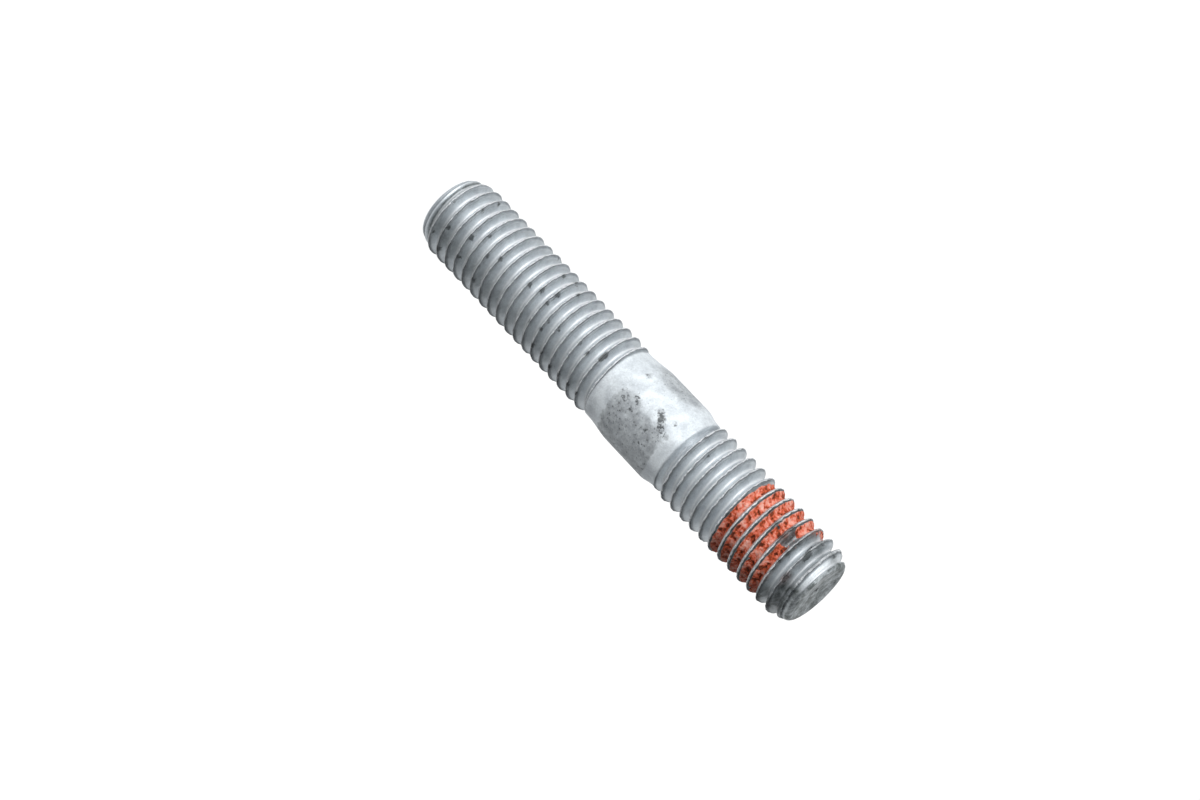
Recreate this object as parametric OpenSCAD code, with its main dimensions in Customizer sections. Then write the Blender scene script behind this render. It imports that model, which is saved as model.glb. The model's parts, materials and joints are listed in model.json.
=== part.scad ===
// Stud bolt: a rolled thread at each end, a plain shank between them, and a dry
// thread-locking patch in the grooves of the end that goes into the casting.
// The stud stands on its nut end, so its axis is +Z and its tap end is on top.

/* [Thread] */
// Major diameter of both threads
thread_d = 10; // [9.5:0.05:10.1]
// Axial distance from one crest to the next
thread_pitch = 1.5; // [1:0.25:1.75]
// Axial length over which a thread runs out into the blank
runout_len = 1.2; // [0.8:0.1:3]

/* [Nut end] */
// Length from the nut end's face to its neck
nut_thread_len = 29.3; // [20:0.1:60]
// Diameter of the flat face that the stud stands on
nut_face_d = 7.2; // [6.5:0.1:7.6]
// Radius that rounds the edge of the nut end's face
nut_edge_r = 0.5; // [0.2:0.05:0.7]
// Angle between the nut end's lead-in and the axis
nut_lead_angle = 20; // [15:1:45]
// Angle about the axis at which the nut end's thread starts
nut_start_angle = 152; // [0:1:359]

/* [Shank] */
// Diameter of the plain shank
shank_d = 10.1; // [9.8:0.05:11]
// Length of the plain shank between its two shoulders
shank_len = 5.4; // [3:0.1:60]
// Diameter of the rolled blank, seen at the two necks
neck_d = 9.45; // [9.2:0.05:9.6]
// Length of the neck on the nut side
nut_neck_len = 0.2; // [0.1:0.1:2]
// Length of the shoulder on the nut side
nut_shoulder_len = 3.5; // [1:0.1:6]
// Length of the neck on the tap side
tap_neck_len = 0.2; // [0.1:0.1:2]
// Length of the shoulder on the tap side
tap_shoulder_len = 1.8; // [1:0.1:6]

/* [Tap end] */
// Length from the tap end's face to its neck
tap_thread_len = 20.5; // [18:0.1:40]
// Diameter of the tap end's flat face
tap_face_d = 7.2; // [6.5:0.1:7.6]
// Radius that rounds the edge of the tap end's face
tap_edge_r = 0.7; // [0.2:0.05:0.8]
// Angle between the tap end's lead-in and the axis
tap_lead_angle = 20; // [15:1:45]
// Angle about the axis at which the tap end's thread starts
tap_start_angle = 180; // [0:1:359]
// Diameter of the dimple in the middle of the tap end's face
dimple_d = 1.2; // [0.6:0.1:2]
// Depth of that dimple
dimple_depth = 0.2; // [0.1:0.05:0.3]

/* [Patch] */
// Distance from the tap end's face to the near edge of the patch
patch_setback = 4; // [3:0.1:6]
// Axial length of the patch
patch_len = 7.6; // [4:0.1:10]
// Height of the dried adhesive above the root in the middle of a groove
patch_fill = 0.4; // [0.2:0.05:0.45]
// Depth below the crests at which the adhesive ends on the flanks
patch_edge_depth = 0.2; // [0.1:0.05:0.25]

/* [Hidden] */

// Facets in each turn of a thread
turn_facets = 24;
// Facets of a full circle on the turned surfaces
round_fn = 96;
// Steps in the curve of a shoulder or of a rounded edge
curve_steps = 6;
// How far the threads' core lies inside the neck that it joins
core_gap = 0.05;

// Proportions of a metric thread: half the angle between its flanks, the flat at
// a crest, the radial depth, the axial width of one flank and the flat at a root
half_flank_angle = 30;
crest_w = thread_pitch / 8;
thread_depth = 0.6134 * thread_pitch;
flank_w = thread_depth * tan(half_flank_angle);
root_w = thread_pitch - crest_w - 2 * flank_w;

crest_r = thread_d / 2;
neck_r = neck_d / 2;
shank_r = shank_d / 2;
core_r = neck_r - core_gap;

// Heights of the stud's steps, from the nut end's face up
nut_neck_z = nut_thread_len;
nut_shoulder_z = nut_neck_z + nut_neck_len;
shank_z = nut_shoulder_z + nut_shoulder_len;
tap_shoulder_z = shank_z + shank_len;
tap_neck_z = tap_shoulder_z + tap_shoulder_len;
tap_thread_z = tap_neck_z + tap_neck_len;
stud_len = tap_thread_z + tap_thread_len;

// Depth below the crests of the adhesive's hollow top in the middle of a groove, and
// how far its edges lie from the crests' edges along the axis
fill_depth = thread_depth - patch_fill;
patch_edge_w = patch_edge_depth * tan(half_flank_angle);

// One pitch of the thread form from a crest up, as [height, depth below the crest].
// The coated form has one line more on each flank, where the adhesive ends.
crest_top = crest_w / 2;
root_bottom = crest_top + flank_w;
root_top = root_bottom + root_w;
plain_form = [
    [-crest_top, 0],
    [crest_top, 0],
    [root_bottom, thread_depth],
    [root_top, thread_depth],
];
coated_form = [
    [-crest_top, 0],
    [crest_top, 0],
    [crest_top + patch_edge_w, patch_edge_depth],
    [root_bottom, thread_depth],
    [root_top, thread_depth],
    [thread_pitch - crest_top - patch_edge_w, patch_edge_depth],
];
// The section of the adhesive: where it sticks to the groove, then its hollow top
fill_form = concat(
    [for (k = [2 : 5]) coated_form[k]],
    [[(root_bottom + root_top) / 2, fill_depth]]
);

// Share of the full thread that is left at height z of a thread that ends at len
function runout(z, len) = max(0, min(1, (len - z) / runout_len));

// Radius of a point that lies depth below the crests, as the thread runs out
function form_r(depth, z, len) = core_r + (crest_r - depth - core_r) * runout(z, len);

// Height of the crest at a station. Station 0 lies one pitch outside the end's face.
function station_z(i) = thread_pitch * (i / turn_facets - 1);

// Point where one line of the form crosses a station
function thread_point(i, line, start_angle, len) =
    let (
        z = station_z(i) + line[0],
        r = form_r(line[1], z, len),
        a = start_angle + 360 * i / turn_facets
    )
    [r * cos(a), r * sin(a), z];

// The thread and its core as one solid, with its free end towards -Z. The lines of
// the form follow the helix, and the last line of a turn meets the first of the next.
module thread_body(form, start_angle, len) {
    lines = len(form);
    last = ceil((len / thread_pitch + 2) * turn_facets);
    foot = (last + 1) * lines;
    top = foot + 1;
    points = concat(
        [for (i = [0 : last], k = [0 : lines - 1]) thread_point(i, form[k], start_angle, len)],
        [[0, 0, station_z(turn_facets / 2)], [0, 0, station_z(last - turn_facets / 2)]]
    );

    // Index of a line's point at a station; line number lines is the next turn's first
    function at(i, k) = k < lines ? i * lines + k : (i + turn_facets) * lines;

    flanks = [for (k = [0 : lines - 1], i = [0 : last - 1])
        if (k < lines - 1 || i + turn_facets < last)
            each [[at(i, k), at(i, k + 1), at(i + 1, k + 1)],
                [at(i, k), at(i + 1, k + 1), at(i + 1, k)]]];
    foot_fan = concat(
        [for (i = [0 : turn_facets - 1]) [foot, at(i, 0), at(i + 1, 0)]],
        [for (k = [0 : lines - 1]) [foot, at(0, k + 1), at(0, k)]]
    );
    top_fan = concat(
        [for (i = [last - turn_facets : last - 1]) [top, at(i + 1, lines - 1), at(i, lines - 1)]],
        [[top, at(last - turn_facets, lines - 1), at(last, 0)]],
        [for (k = [0 : lines - 2]) [top, at(last, k), at(last, k + 1)]]
    );
    polyhedron(points, concat(flanks, foot_fan, top_fan), convexity = 10);
}

// What the turned end leaves of a thread: a flat face, a rounded edge and a lead-in
module end_form(face_d, edge_r, lead_angle, len) {
    edge_z = edge_r * (1 - sin(lead_angle));
    edge_end_r = face_d / 2 + edge_r * cos(lead_angle);
    outer_r = crest_r + thread_depth;
    lead_z = edge_z + (outer_r - edge_end_r) / tan(lead_angle);
    edge = [for (step = [0 : curve_steps])
        let (a = -90 + step / curve_steps * (90 - lead_angle))
        [face_d / 2 + edge_r * cos(a), edge_r * (1 + sin(a))]];
    rotate_extrude($fn = round_fn)
        polygon(concat([[0, 0]], edge, [[outer_r, lead_z]],
            [[outer_r, len + 3 * thread_pitch], [0, len + 3 * thread_pitch]]));
}

// A thread with its turned end at z = 0
module threaded_end(form, start_angle, len, face_d, edge_r, lead_angle) {
    intersection() {
        thread_body(form, start_angle, len);
        end_form(face_d, edge_r, lead_angle, len);
    }
}

// Points of a shoulder that swells from r0 at z0 to r1 at z1 without a corner
function shoulder(z0, r0, z1, r1) =
    [for (step = [0 : curve_steps])
        let (share = step / curve_steps)
        [r0 + (r1 - r0) * (1 - cos(180 * share)) / 2, z0 + (z1 - z0) * share]];

// The plain shank with its shoulders and both necks
module shank() {
    rotate_extrude($fn = round_fn)
        polygon(concat(
            [[0, nut_neck_z], [neck_r, nut_neck_z]],
            shoulder(nut_shoulder_z, neck_r, shank_z, shank_r),
            shoulder(tap_shoulder_z, shank_r, tap_neck_z, neck_r),
            [[neck_r, tap_thread_z], [0, tap_thread_z]]
        ));
}

// Puts the tap end's shapes, whose free end is at z = 0, on top of the stud
module at_tap_end() {
    translate([0, 0, stud_len])
        rotate([180, 0, 0])
            children();
}

module stud() {
    color("silver")
    difference() {
        union() {
            threaded_end(plain_form, nut_start_angle, nut_thread_len,
                nut_face_d, nut_edge_r, nut_lead_angle);
            shank();
            at_tap_end()
                threaded_end(coated_form, tap_start_angle, tap_thread_len,
                    tap_face_d, tap_edge_r, tap_lead_angle);
        }
        at_tap_end()
            translate([0, 0, -dimple_depth])
                cylinder(h = 2 * dimple_depth, r1 = dimple_d, r2 = 0, $fn = round_fn);
    }
}

// The adhesive as one strip along the groove, on the very faces of the thread
module groove_fill() {
    lines = len(fill_form);
    first = floor(patch_setback / thread_pitch * turn_facets);
    last = ceil(((patch_setback + patch_len) / thread_pitch + 1) * turn_facets);
    points = [for (i = [first : last], line = fill_form)
        thread_point(i, line, tap_start_angle, tap_thread_len)];

    // Index of a line's point at a station; line number lines is the first again
    function at(i, k) = (i - first) * lines + k % lines;

    sides = [for (k = [0 : lines - 1], i = [first : last - 1])
        each [[at(i, k), at(i + 1, k + 1), at(i, k + 1)],
            [at(i, k), at(i + 1, k), at(i + 1, k + 1)]]];
    // The hollow top's line sees the whole section, so both end faces fan out from it
    ends = [for (k = [0 : lines - 3])
        each [[at(first, lines - 1), at(first, k), at(first, k + 1)],
            [at(last, lines - 1), at(last, k + 1), at(last, k)]]];
    polyhedron(points, concat(sides, ends), convexity = 10);
}

module thread_lock_patch() {
    color("salmon")
    at_tap_end()
        intersection() {
            groove_fill();
            translate([0, 0, patch_setback])
                cylinder(h = patch_len, r = crest_r, $fn = round_fn);
        }
}

stud();
thread_lock_patch();
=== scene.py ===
"""Looks of a double-ended stud bolt: rolled threads, a plain shank and a thread-locking patch.

The lengths in the classes are millimetres, measured as the part's source measures them: the
stud stands on its nut end, and each threaded end counts its heights from its own free face.
"""

import json
import logging
import math
from dataclasses import dataclass, replace
from enum import Enum
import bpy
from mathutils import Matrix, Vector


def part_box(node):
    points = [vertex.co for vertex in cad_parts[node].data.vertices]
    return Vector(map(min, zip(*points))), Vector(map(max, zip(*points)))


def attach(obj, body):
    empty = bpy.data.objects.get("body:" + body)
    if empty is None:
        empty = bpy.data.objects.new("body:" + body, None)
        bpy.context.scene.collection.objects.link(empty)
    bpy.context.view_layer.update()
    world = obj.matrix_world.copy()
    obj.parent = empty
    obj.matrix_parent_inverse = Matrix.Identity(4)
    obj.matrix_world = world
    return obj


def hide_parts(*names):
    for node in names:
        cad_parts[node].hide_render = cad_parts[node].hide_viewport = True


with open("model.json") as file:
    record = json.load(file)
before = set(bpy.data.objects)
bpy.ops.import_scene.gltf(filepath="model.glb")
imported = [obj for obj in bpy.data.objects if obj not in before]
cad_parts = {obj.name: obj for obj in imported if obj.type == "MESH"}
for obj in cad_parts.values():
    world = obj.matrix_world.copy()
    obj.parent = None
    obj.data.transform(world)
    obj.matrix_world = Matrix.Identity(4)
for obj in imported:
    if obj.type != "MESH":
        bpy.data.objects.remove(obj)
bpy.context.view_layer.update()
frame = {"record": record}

from types import SimpleNamespace
from typing import Any

import bmesh
import bpy
from mathutils import Euler, Matrix, Vector, noise

MM = 0.001
log = logging.getLogger("stud_bolt")

# What the functions hand on
Mesh = bmesh.types.BMesh
Points = list[bmesh.types.BMVert]
Edges = list[bmesh.types.BMEdge]
Profile = list[tuple[float, float]]
Tree = bpy.types.NodeTree
Node = bpy.types.Node
Finish = bpy.types.Material
Thing = bpy.types.Object

# Height of the ring of faces that joins a thread's mesh to the shank's
NECK_GAP = 0.06


# -------- small helpers


def mount(name: str) -> dict[str, Any]:
    """Return the record's mount of that name."""
    return next(m for m in frame["record"]["mounts"] if m["name"] == name)


def clamp(value: float, low: float = 0.0, high: float = 1.0) -> float:
    """Return value, held between low and high."""
    return max(low, min(high, value))


def smooth_step(low: float, high: float, value: float) -> float:
    """Return 0 below low, 1 above high, and an even curve between them."""
    share = clamp((value - low) / (high - low))
    return share * share * (3 - 2 * share)


def smooth_min(a: float, b: float, width: float) -> float:
    """Return the smaller of a and b, rounded off where they are closer than width."""
    share = clamp((width - abs(a - b)) / width)
    return min(a, b) - width * share * share / 4


@dataclass(frozen=True)
class Ripple:
    """Smooth noise of one size.

    Attributes:
        height: How far it swings to either side of 0.
        size: Size of one lump.
        shift: Moves the pattern, so that two ripples differ.
    """

    height: float
    size: float
    shift: float = 0.0

    def at(self, point: Vector) -> float:
        """Return the ripple at a point."""
        moved = point / self.size + Vector((self.shift, 1.7 * self.shift, -self.shift))
        return self.height * noise.noise(moved)


def turned(angle: float, radius: float, height: float) -> Vector:
    """Return the point at an angle in radians, a radius and a height."""
    return Vector((radius * math.cos(angle), radius * math.sin(angle), height))


def open_edges(bm: Mesh, low: float, high: float) -> Edges:
    """Return the edges with one face only, both of whose ends lie between two heights."""
    return [e for e in bm.edges if e.is_boundary and all(low < v.co.z < high for v in e.verts)]


def ring_on(bm: Mesh, edges: Edges, radius: float, height: float) -> Edges:
    """Extrude a round open loop to a new radius and height.

    Args:
        bm: The mesh.
        edges: The loop.
        radius: Radius of the new loop.
        height: Height of the new loop.

    Returns:
        The edges of the new loop.
    """
    out = bmesh.ops.extrude_edge_only(bm, edges=edges)["geom"]
    for v in (g for g in out if isinstance(g, bmesh.types.BMVert)):
        v.co = turned(math.atan2(v.co.y, v.co.x), radius, height)
    return [g for g in out if isinstance(g, bmesh.types.BMEdge)]


def close_pole(bm: Mesh, edges: Edges, height: float) -> None:
    """Draw a small loop together into one point on the axis.

    Args:
        bm: The mesh.
        edges: The loop.
        height: Height of the pole.
    """
    ring = ring_on(bm, edges, 0.01, height)
    verts = list({v for e in ring for v in e.verts})
    bmesh.ops.pointmerge(bm, verts=verts, merge_co=Vector((0, 0, height)))


def turn_profile(bm: Mesh, profile: Profile, steps: int) -> None:
    """Turn a profile about the axis, open at both ends.

    Args:
        bm: The mesh.
        profile: Radius and height of each of its points.
        steps: Steps in the full turn.
    """
    line = [bm.verts.new((radius, 0, height)) for radius, height in profile]
    edges = [bm.edges.new(pair) for pair in zip(line, line[1:])]
    full = 2 * math.pi
    bmesh.ops.spin(
        bm, geom=line + edges, cent=(0, 0, 0), axis=(0, 0, 1), angle=full, steps=steps, use_merge=True
    )


def keep_between(bm: Mesh, low: float, high: float) -> None:
    """Cut off what lies below one height or above another, and leave both cuts open."""
    for height, upward in ((low, -1), (high, 1)):
        bmesh.ops.bisect_plane(
            bm, geom=bm.verts[:] + bm.edges[:] + bm.faces[:], dist=1e-4,
            plane_co=(0, 0, height), plane_no=(0, 0, upward), clear_outer=True,
        )


def put_on_top(bm: Mesh, height: float) -> None:
    """Turn a mesh whose face is at height 0 over, so that its face is up at a height."""
    bmesh.ops.rotate(bm, verts=bm.verts, matrix=Matrix.Rotation(math.pi, 3, "X"))
    bmesh.ops.translate(bm, verts=bm.verts, vec=(0, 0, height))


def placed(name: str, data: bpy.types.ID) -> Thing:
    """Return a new object of the scene that shows a mesh, a lamp or a camera."""
    thing = bpy.data.objects.new(name, data)
    bpy.context.scene.collection.objects.link(thing)
    return thing


def finished_object(name: str, bm: Mesh, finish: Finish) -> Thing:
    """Turn a closed mesh in millimetres into an object of the scene, in metres.

    Args:
        name: The object's name.
        bm: The mesh. It is freed.
        finish: The object's material.

    Returns:
        The object, at the origin, with its place in its mesh.
    """
    bmesh.ops.recalc_face_normals(bm, faces=bm.faces)
    left_open = sum(1 for e in bm.edges if not e.is_manifold)
    log.info("%s: %d faces, %d open or odd edges", name, len(bm.faces), left_open)
    bmesh.ops.scale(bm, vec=(MM, MM, MM), verts=bm.verts)
    for face in bm.faces:
        face.smooth = True
    mesh = bpy.data.meshes.new(name)
    bm.to_mesh(mesh)
    bm.free()
    mesh.materials.append(finish)
    return placed(name, mesh)


# -------- materials

# The nodes that the materials use most, and the settings of some
MATH, MIX, RANGE, BUMP = "ShaderNodeMath", "ShaderNodeMix", "ShaderNodeMapRange", "ShaderNodeBump"
NOISE, LAYER, OUT = "ShaderNodeTexNoise", "ShaderNodeAttribute", "ShaderNodeOutputMaterial"
TIMES = {"operation": "MULTIPLY"}
TIMES_HELD = {"operation": "MULTIPLY", "use_clamp": True}
SCALED = {"operation": "MULTIPLY_ADD"}
SCALED_HELD = {"operation": "MULTIPLY_ADD", "use_clamp": True}
LESS_HELD = {"operation": "SUBTRACT", "use_clamp": True}
LARGER = {"operation": "MAXIMUM"}
PAINT = {"data_type": "RGBA"}
TINT = {"data_type": "RGBA", "blend_type": "MULTIPLY"}


def linear(code: str) -> tuple[float, float, float, float]:
    """Turn an sRGB hex colour into Blender's linear colour.

    Args:
        code: Six hex digits, with or without a leading #.

    Returns:
        Red, green, blue and an alpha of 1.
    """
    code = code.lstrip("#")
    parts = [int(code[i : i + 2], 16) / 255 for i in (0, 2, 4)]
    r, g, b = (c / 12.92 if c <= 0.04045 else ((c + 0.055) / 1.055) ** 2.4 for c in parts)
    return (r, g, b, 1.0)


def per_metre(size: float) -> float:
    """Return the texture scale whose pattern repeats about every size millimetres."""
    return 1 / (size * MM)


def span(low: float, high: float, to_low: float = 0.0, to_high: float = 1.0) -> dict[str, float]:
    """Return what a range node maps from and to, as its inputs."""
    return {"From Min": low, "From Max": high, "To Min": to_low, "To Max": to_high}


def add(
    tree: Tree, kind: str, settings: dict[str, Any] | None = None, inputs: dict[Any, Any] | None = None
) -> Node:
    """Add a node with its settings and what goes into it.

    Args:
        tree: The material's or the world's node tree.
        kind: The node's type.
        settings: The node's own properties.
        inputs: Input name or number to what feeds it, or to its value. A node feeds it with the
            first output that is in use.

    Returns:
        The new node.
    """
    node = tree.nodes.new(kind)
    for key, value in (settings or {}).items():
        setattr(node, key, value)
    for key, value in (inputs or {}).items():
        if isinstance(value, bpy.types.Node):
            value = next(socket for socket in value.outputs if socket.enabled)
        if isinstance(value, bpy.types.NodeSocket):
            tree.links.new(value, node.inputs[key])
        else:
            node.inputs[key].default_value = value
    return node


def blank_tree(name: str) -> tuple[Finish, Tree]:
    """Start a material.

    Args:
        name: The material's name.

    Returns:
        The material and its empty node tree.
    """
    material = bpy.data.materials.new(name)
    material.use_nodes = True
    material.node_tree.nodes.clear()
    return material, material.node_tree


# What the mesh tells the coat about the thread
STUD_LAYERS = ("lap", "lip", "root", "edge", "thread", "flank")


class Trace(Enum):
    """What handling and dirt leave on the coat; the grime layer and the spots also carry painted shade.
    The value names the mesh's attribute.
    """

    SPOT = "spot"
    RUB = "rub"
    GRIME_AND_SHADE = "grime"
    STAIN = "stain"


@dataclass(frozen=True)
class Mark:
    """A place where the coat is dirty or worn.

    Attributes:
        height: Height on the stud.
        azimuth: Degrees about the axis from +X.
        size: Radius over which it fades.
        strength: 1 for a full one.
        trace: What it is.
        radius: Distance of its middle from the stud's axis.
    """

    height: float
    azimuth: float
    size: float
    strength: float = 1.0
    trace: Trace = Trace.SPOT
    radius: float = 4.9

    def at(self, point: Vector) -> float:
        """Return how strong the mark is at a point of the stud."""
        gap = (point - turned(math.radians(self.azimuth), self.radius, self.height)).length
        return self.strength * math.exp(-((gap / self.size) ** 2))


@dataclass(frozen=True)
class ZincFlakeCoat:
    """Zinc-flake coat on rolled steel, dip-spun and cured.

    It is a thin paint of metal flakes: matt silver-grey that scatters the lamps widely, darker
    in the laps of the crests and where other studs have knocked it. The laps and the shoulders
    beside them also carry painted shade, and the roots and lips a painted highlight. The flakes
    are really about 0.02 mm large. They are drawn 0.16 mm large here, or their grain wouldn't
    show in the render.
    """

    silver: str = "#CFD5D9"
    shade: str = "#B9BFC4"
    # Painted highlight on the burnished roots and lips
    burnish_highlight: str = "#E4E7E9"
    rolled: str = "#D0D2D4"
    # Painted shade on the shoulder beside each seam
    shoulder_shade: str = "#989C9E"
    # The seam's dirt, with painted shade in it
    lap: str = "#64686A"
    worn: str = "#787C7F"
    # Soot, and the painted shade in the dimple
    soot: str = "#35393A"
    # Grime, and painted shade where the film stands in for it
    film_and_shade: str = "#6C706D"
    stain: str = "#9A6F66"
    # On the shank and crests, on the flanks that slid in the dies, and on the pressed roots
    metallic: float = 0.6
    flank_metallic: float = 0.9
    pressed_metallic: float = 0.3
    roughness: float = 0.68
    flank_roughness: float = 0.52
    pressed_roughness: float = 0.42
    cloud_size: float = 1.6
    patch_size: float = 0.9
    speck_size: float = 0.3
    grain_size: float = 0.16
    grain_height: float = 0.012
    bead_height: float = 0.3
    nick_height: float = 0.03

    def sources(self, tree: Tree) -> SimpleNamespace:
        """Add what the coat is mixed from: four noises, and the layers of the mesh.

        Args:
            tree: The coat's node tree.

        Returns:
            The nodes and sockets, by their names.
        """
        place = add(tree, "ShaderNodeTexCoord").outputs["Object"]
        found = SimpleNamespace()
        for name, size, detail, fine in (
            ("cloud", self.cloud_size, 4.0, 0.6),
            ("patchy", self.patch_size, 6.0, 0.75),
            ("speck", self.speck_size, 3.0, 0.6),
            ("grain", self.grain_size, 2.0, 0.6),
        ):
            inputs = {"Vector": place, "Scale": per_metre(size), "Detail": detail, "Roughness": fine}
            setattr(found, name, add(tree, NOISE, inputs=inputs))
        for name in (*(trace.value for trace in Trace), *STUD_LAYERS):
            setattr(found, name, add(tree, LAYER, {"attribute_name": name}).outputs["Fac"])
        return found

    def colour(self, tree: Tree, src: SimpleNamespace, free_of_film_and_shade: Node, lips: Node, soot_and_shade_share: Node) -> Node:
        """Mix the colour, from the bare silver up to the dirt, painted shade and painted highlight on it.

        Args:
            tree: The coat's node tree.
            src: What the coat is mixed from.
            free_of_film_and_shade: How free of grime and painted shade a place is.
            lips: How much the lips of the crests are burnished and lightened with a painted highlight.
            soot_and_shade_share: How dark the soot and the dimple's painted shade are.

        Returns:
            The node that gives the colour.
        """
        # The body of the coat: two silvers in soft clouds, with the flakes' own grain
        clouds = add(tree, RANGE, inputs={"Value": src.cloud, **span(0.38, 0.66)})
        body = add(tree, MIX, PAINT, {0: clouds, 6: linear(self.silver), 7: linear(self.shade)})
        flakes = add(tree, RANGE, inputs={"Value": src.grain, **span(0.3, 0.75, 0.86, 1.08)})
        surface = add(tree, MIX, TINT, {0: 1.0, 6: body, 7: flakes})

        # The crests and roots are a shade darker than the shank
        formed = add(tree, MATH, LESS_HELD, {0: src.thread, 1: src.flank})

        # The roots and the beaded lips of the crests, which the dies burnish, lightened with a painted
        # highlight
        root_share = add(tree, MATH, TIMES, {0: src.root, 1: 0.6})
        burnish_and_highlight_share = add(tree, MATH, LARGER, {0: root_share, 1: lips})
        burnish_and_highlight = add(tree, MATH, TIMES, {0: burnish_and_highlight_share, 1: free_of_film_and_shade})

        # Rubbed places, where the silver is broken into patches over a darker ground
        broken = add(tree, MATH, SCALED, {0: src.rub, 1: 0.5, 2: src.patchy})
        rubbed = add(tree, RANGE, inputs={"Value": broken, **span(0.72, 1.3)})

        # The jagged seam along each crest, where the metal from both flanks laps, darkened with its dirt
        # and with painted shade
        tear = add(tree, MATH, SCALED, {0: src.speck, 1: 2.2, 2: src.lap})
        wander = add(tree, MATH, SCALED, {0: src.cloud, 1: 1.1, 2: tear})
        seam_dirt_and_shade = add(tree, RANGE, inputs={"Value": wander, **span(2.1, 2.8, 0.0, 0.8)})

        # Painted shade on the shoulder beside each seam, grime and painted shade as a smooth grey
        # film, and pink to brown traces of the adhesive, each thicker in some places
        uneven = (
            (add(tree, MATH, SCALED, {0: src.patchy, 1: 1.0, 2: 0.1}), src.edge),
            (add(tree, MATH, SCALED, {0: src.patchy, 1: 2.2, 2: -0.3}), src.grime),
            (add(tree, MATH, SCALED, {0: src.speck, 1: 1.4, 2: -0.25}), src.stain),
        )
        shaded_shoulder, film_and_shade_share, stained = (add(tree, MATH, TIMES_HELD, dict(enumerate(pair))) for pair in uneven)

        for share, blend, code in (
            (formed, TINT, self.rolled),
            (burnish_and_highlight, PAINT, self.burnish_highlight),
            (rubbed, PAINT, self.worn),
            (shaded_shoulder, TINT, self.shoulder_shade),
            (seam_dirt_and_shade, PAINT, self.lap),
            (film_and_shade_share, TINT, self.film_and_shade),
            (stained, PAINT, self.stain),
            (soot_and_shade_share, PAINT, self.soot),
        ):
            surface = add(tree, MIX, blend, {0: share, 6: surface, 7: linear(code)})
        return surface

    def relief(self, tree: Tree, src: SimpleNamespace, soot_and_shade_share: Node) -> Node:
        """Add the grain of the flakes, the beads on the lips and the nicks under the soot and the
        dimple's painted shade.

        Args:
            tree: The coat's node tree.
            src: What the coat is mixed from.
            soot_and_shade_share: How dark the soot and the dimple's painted shade are.

        Returns:
            The node that gives the normal.
        """
        bead = add(tree, MATH, TIMES, {0: src.speck, 1: src.lip})
        relief = {}
        for height, strength, depth, sunk in (
            (src.grain, 0.5, self.grain_height, False),
            (bead, 1.0, self.bead_height, False),
            (soot_and_shade_share, 0.6, self.nick_height, True),
        ):
            inputs = {"Height": height, "Strength": strength, "Distance": depth * MM, **relief}
            relief["Normal"] = add(tree, BUMP, {"invert": sunk}, inputs)
        return relief["Normal"]

    def material(self) -> Finish:
        """Return the coat's material."""
        material, tree = blank_tree("zinc_flake_coat")
        src = self.sources(tree)
        free_of_film_and_shade = add(tree, MATH, SCALED_HELD, {0: src.grime, 1: -0.8, 2: 1.0})
        beaded = add(tree, RANGE, inputs={"Value": src.speck, **span(0.36, 0.56, 0.15, 0.75)})
        lips = add(tree, MATH, TIMES, {0: beaded, 1: src.lip})
        both = add(tree, MATH, LARGER, {0: src.root, 1: lips})
        pressed = add(tree, MATH, TIMES, {0: both, 1: free_of_film_and_shade})

        # Soot-dark specks all over, which close up into blotches where a spot is, and into painted shade
        # in the dimple
        specks = add(tree, MATH, SCALED, {0: src.rub, 1: 0.11, 2: src.speck})
        spots_and_shade = add(tree, MATH, SCALED, {0: src.spot, 1: 0.5, 2: specks})
        soot_and_shade_share = add(tree, RANGE, inputs={"Value": spots_and_shade, **span(0.68, 0.84, 0.0, 0.8)})

        matt = span(0.0, 1.0, self.roughness - 0.06, self.roughness + 0.12)
        rough = add(tree, RANGE, inputs={"Value": src.cloud, **matt})
        metal = self.metallic
        for share, smooth, steely in (
            (src.flank, self.flank_roughness, self.flank_metallic),
            (pressed, self.pressed_roughness, self.pressed_metallic),
        ):
            rough = add(tree, MIX, inputs={0: share, 2: rough, 3: smooth})
            metal = add(tree, MIX, inputs={0: share, 2: metal, 3: steely})
        shader = add(
            tree, "ShaderNodeBsdfPrincipled",
            inputs={
                "Base Color": self.colour(tree, src, free_of_film_and_shade, lips, soot_and_shade_share), "Roughness": rough,
                "Metallic": metal, "Normal": self.relief(tree, src, soot_and_shade_share),
            },
        )
        add(tree, OUT, inputs={"Surface": shader})
        return material


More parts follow.
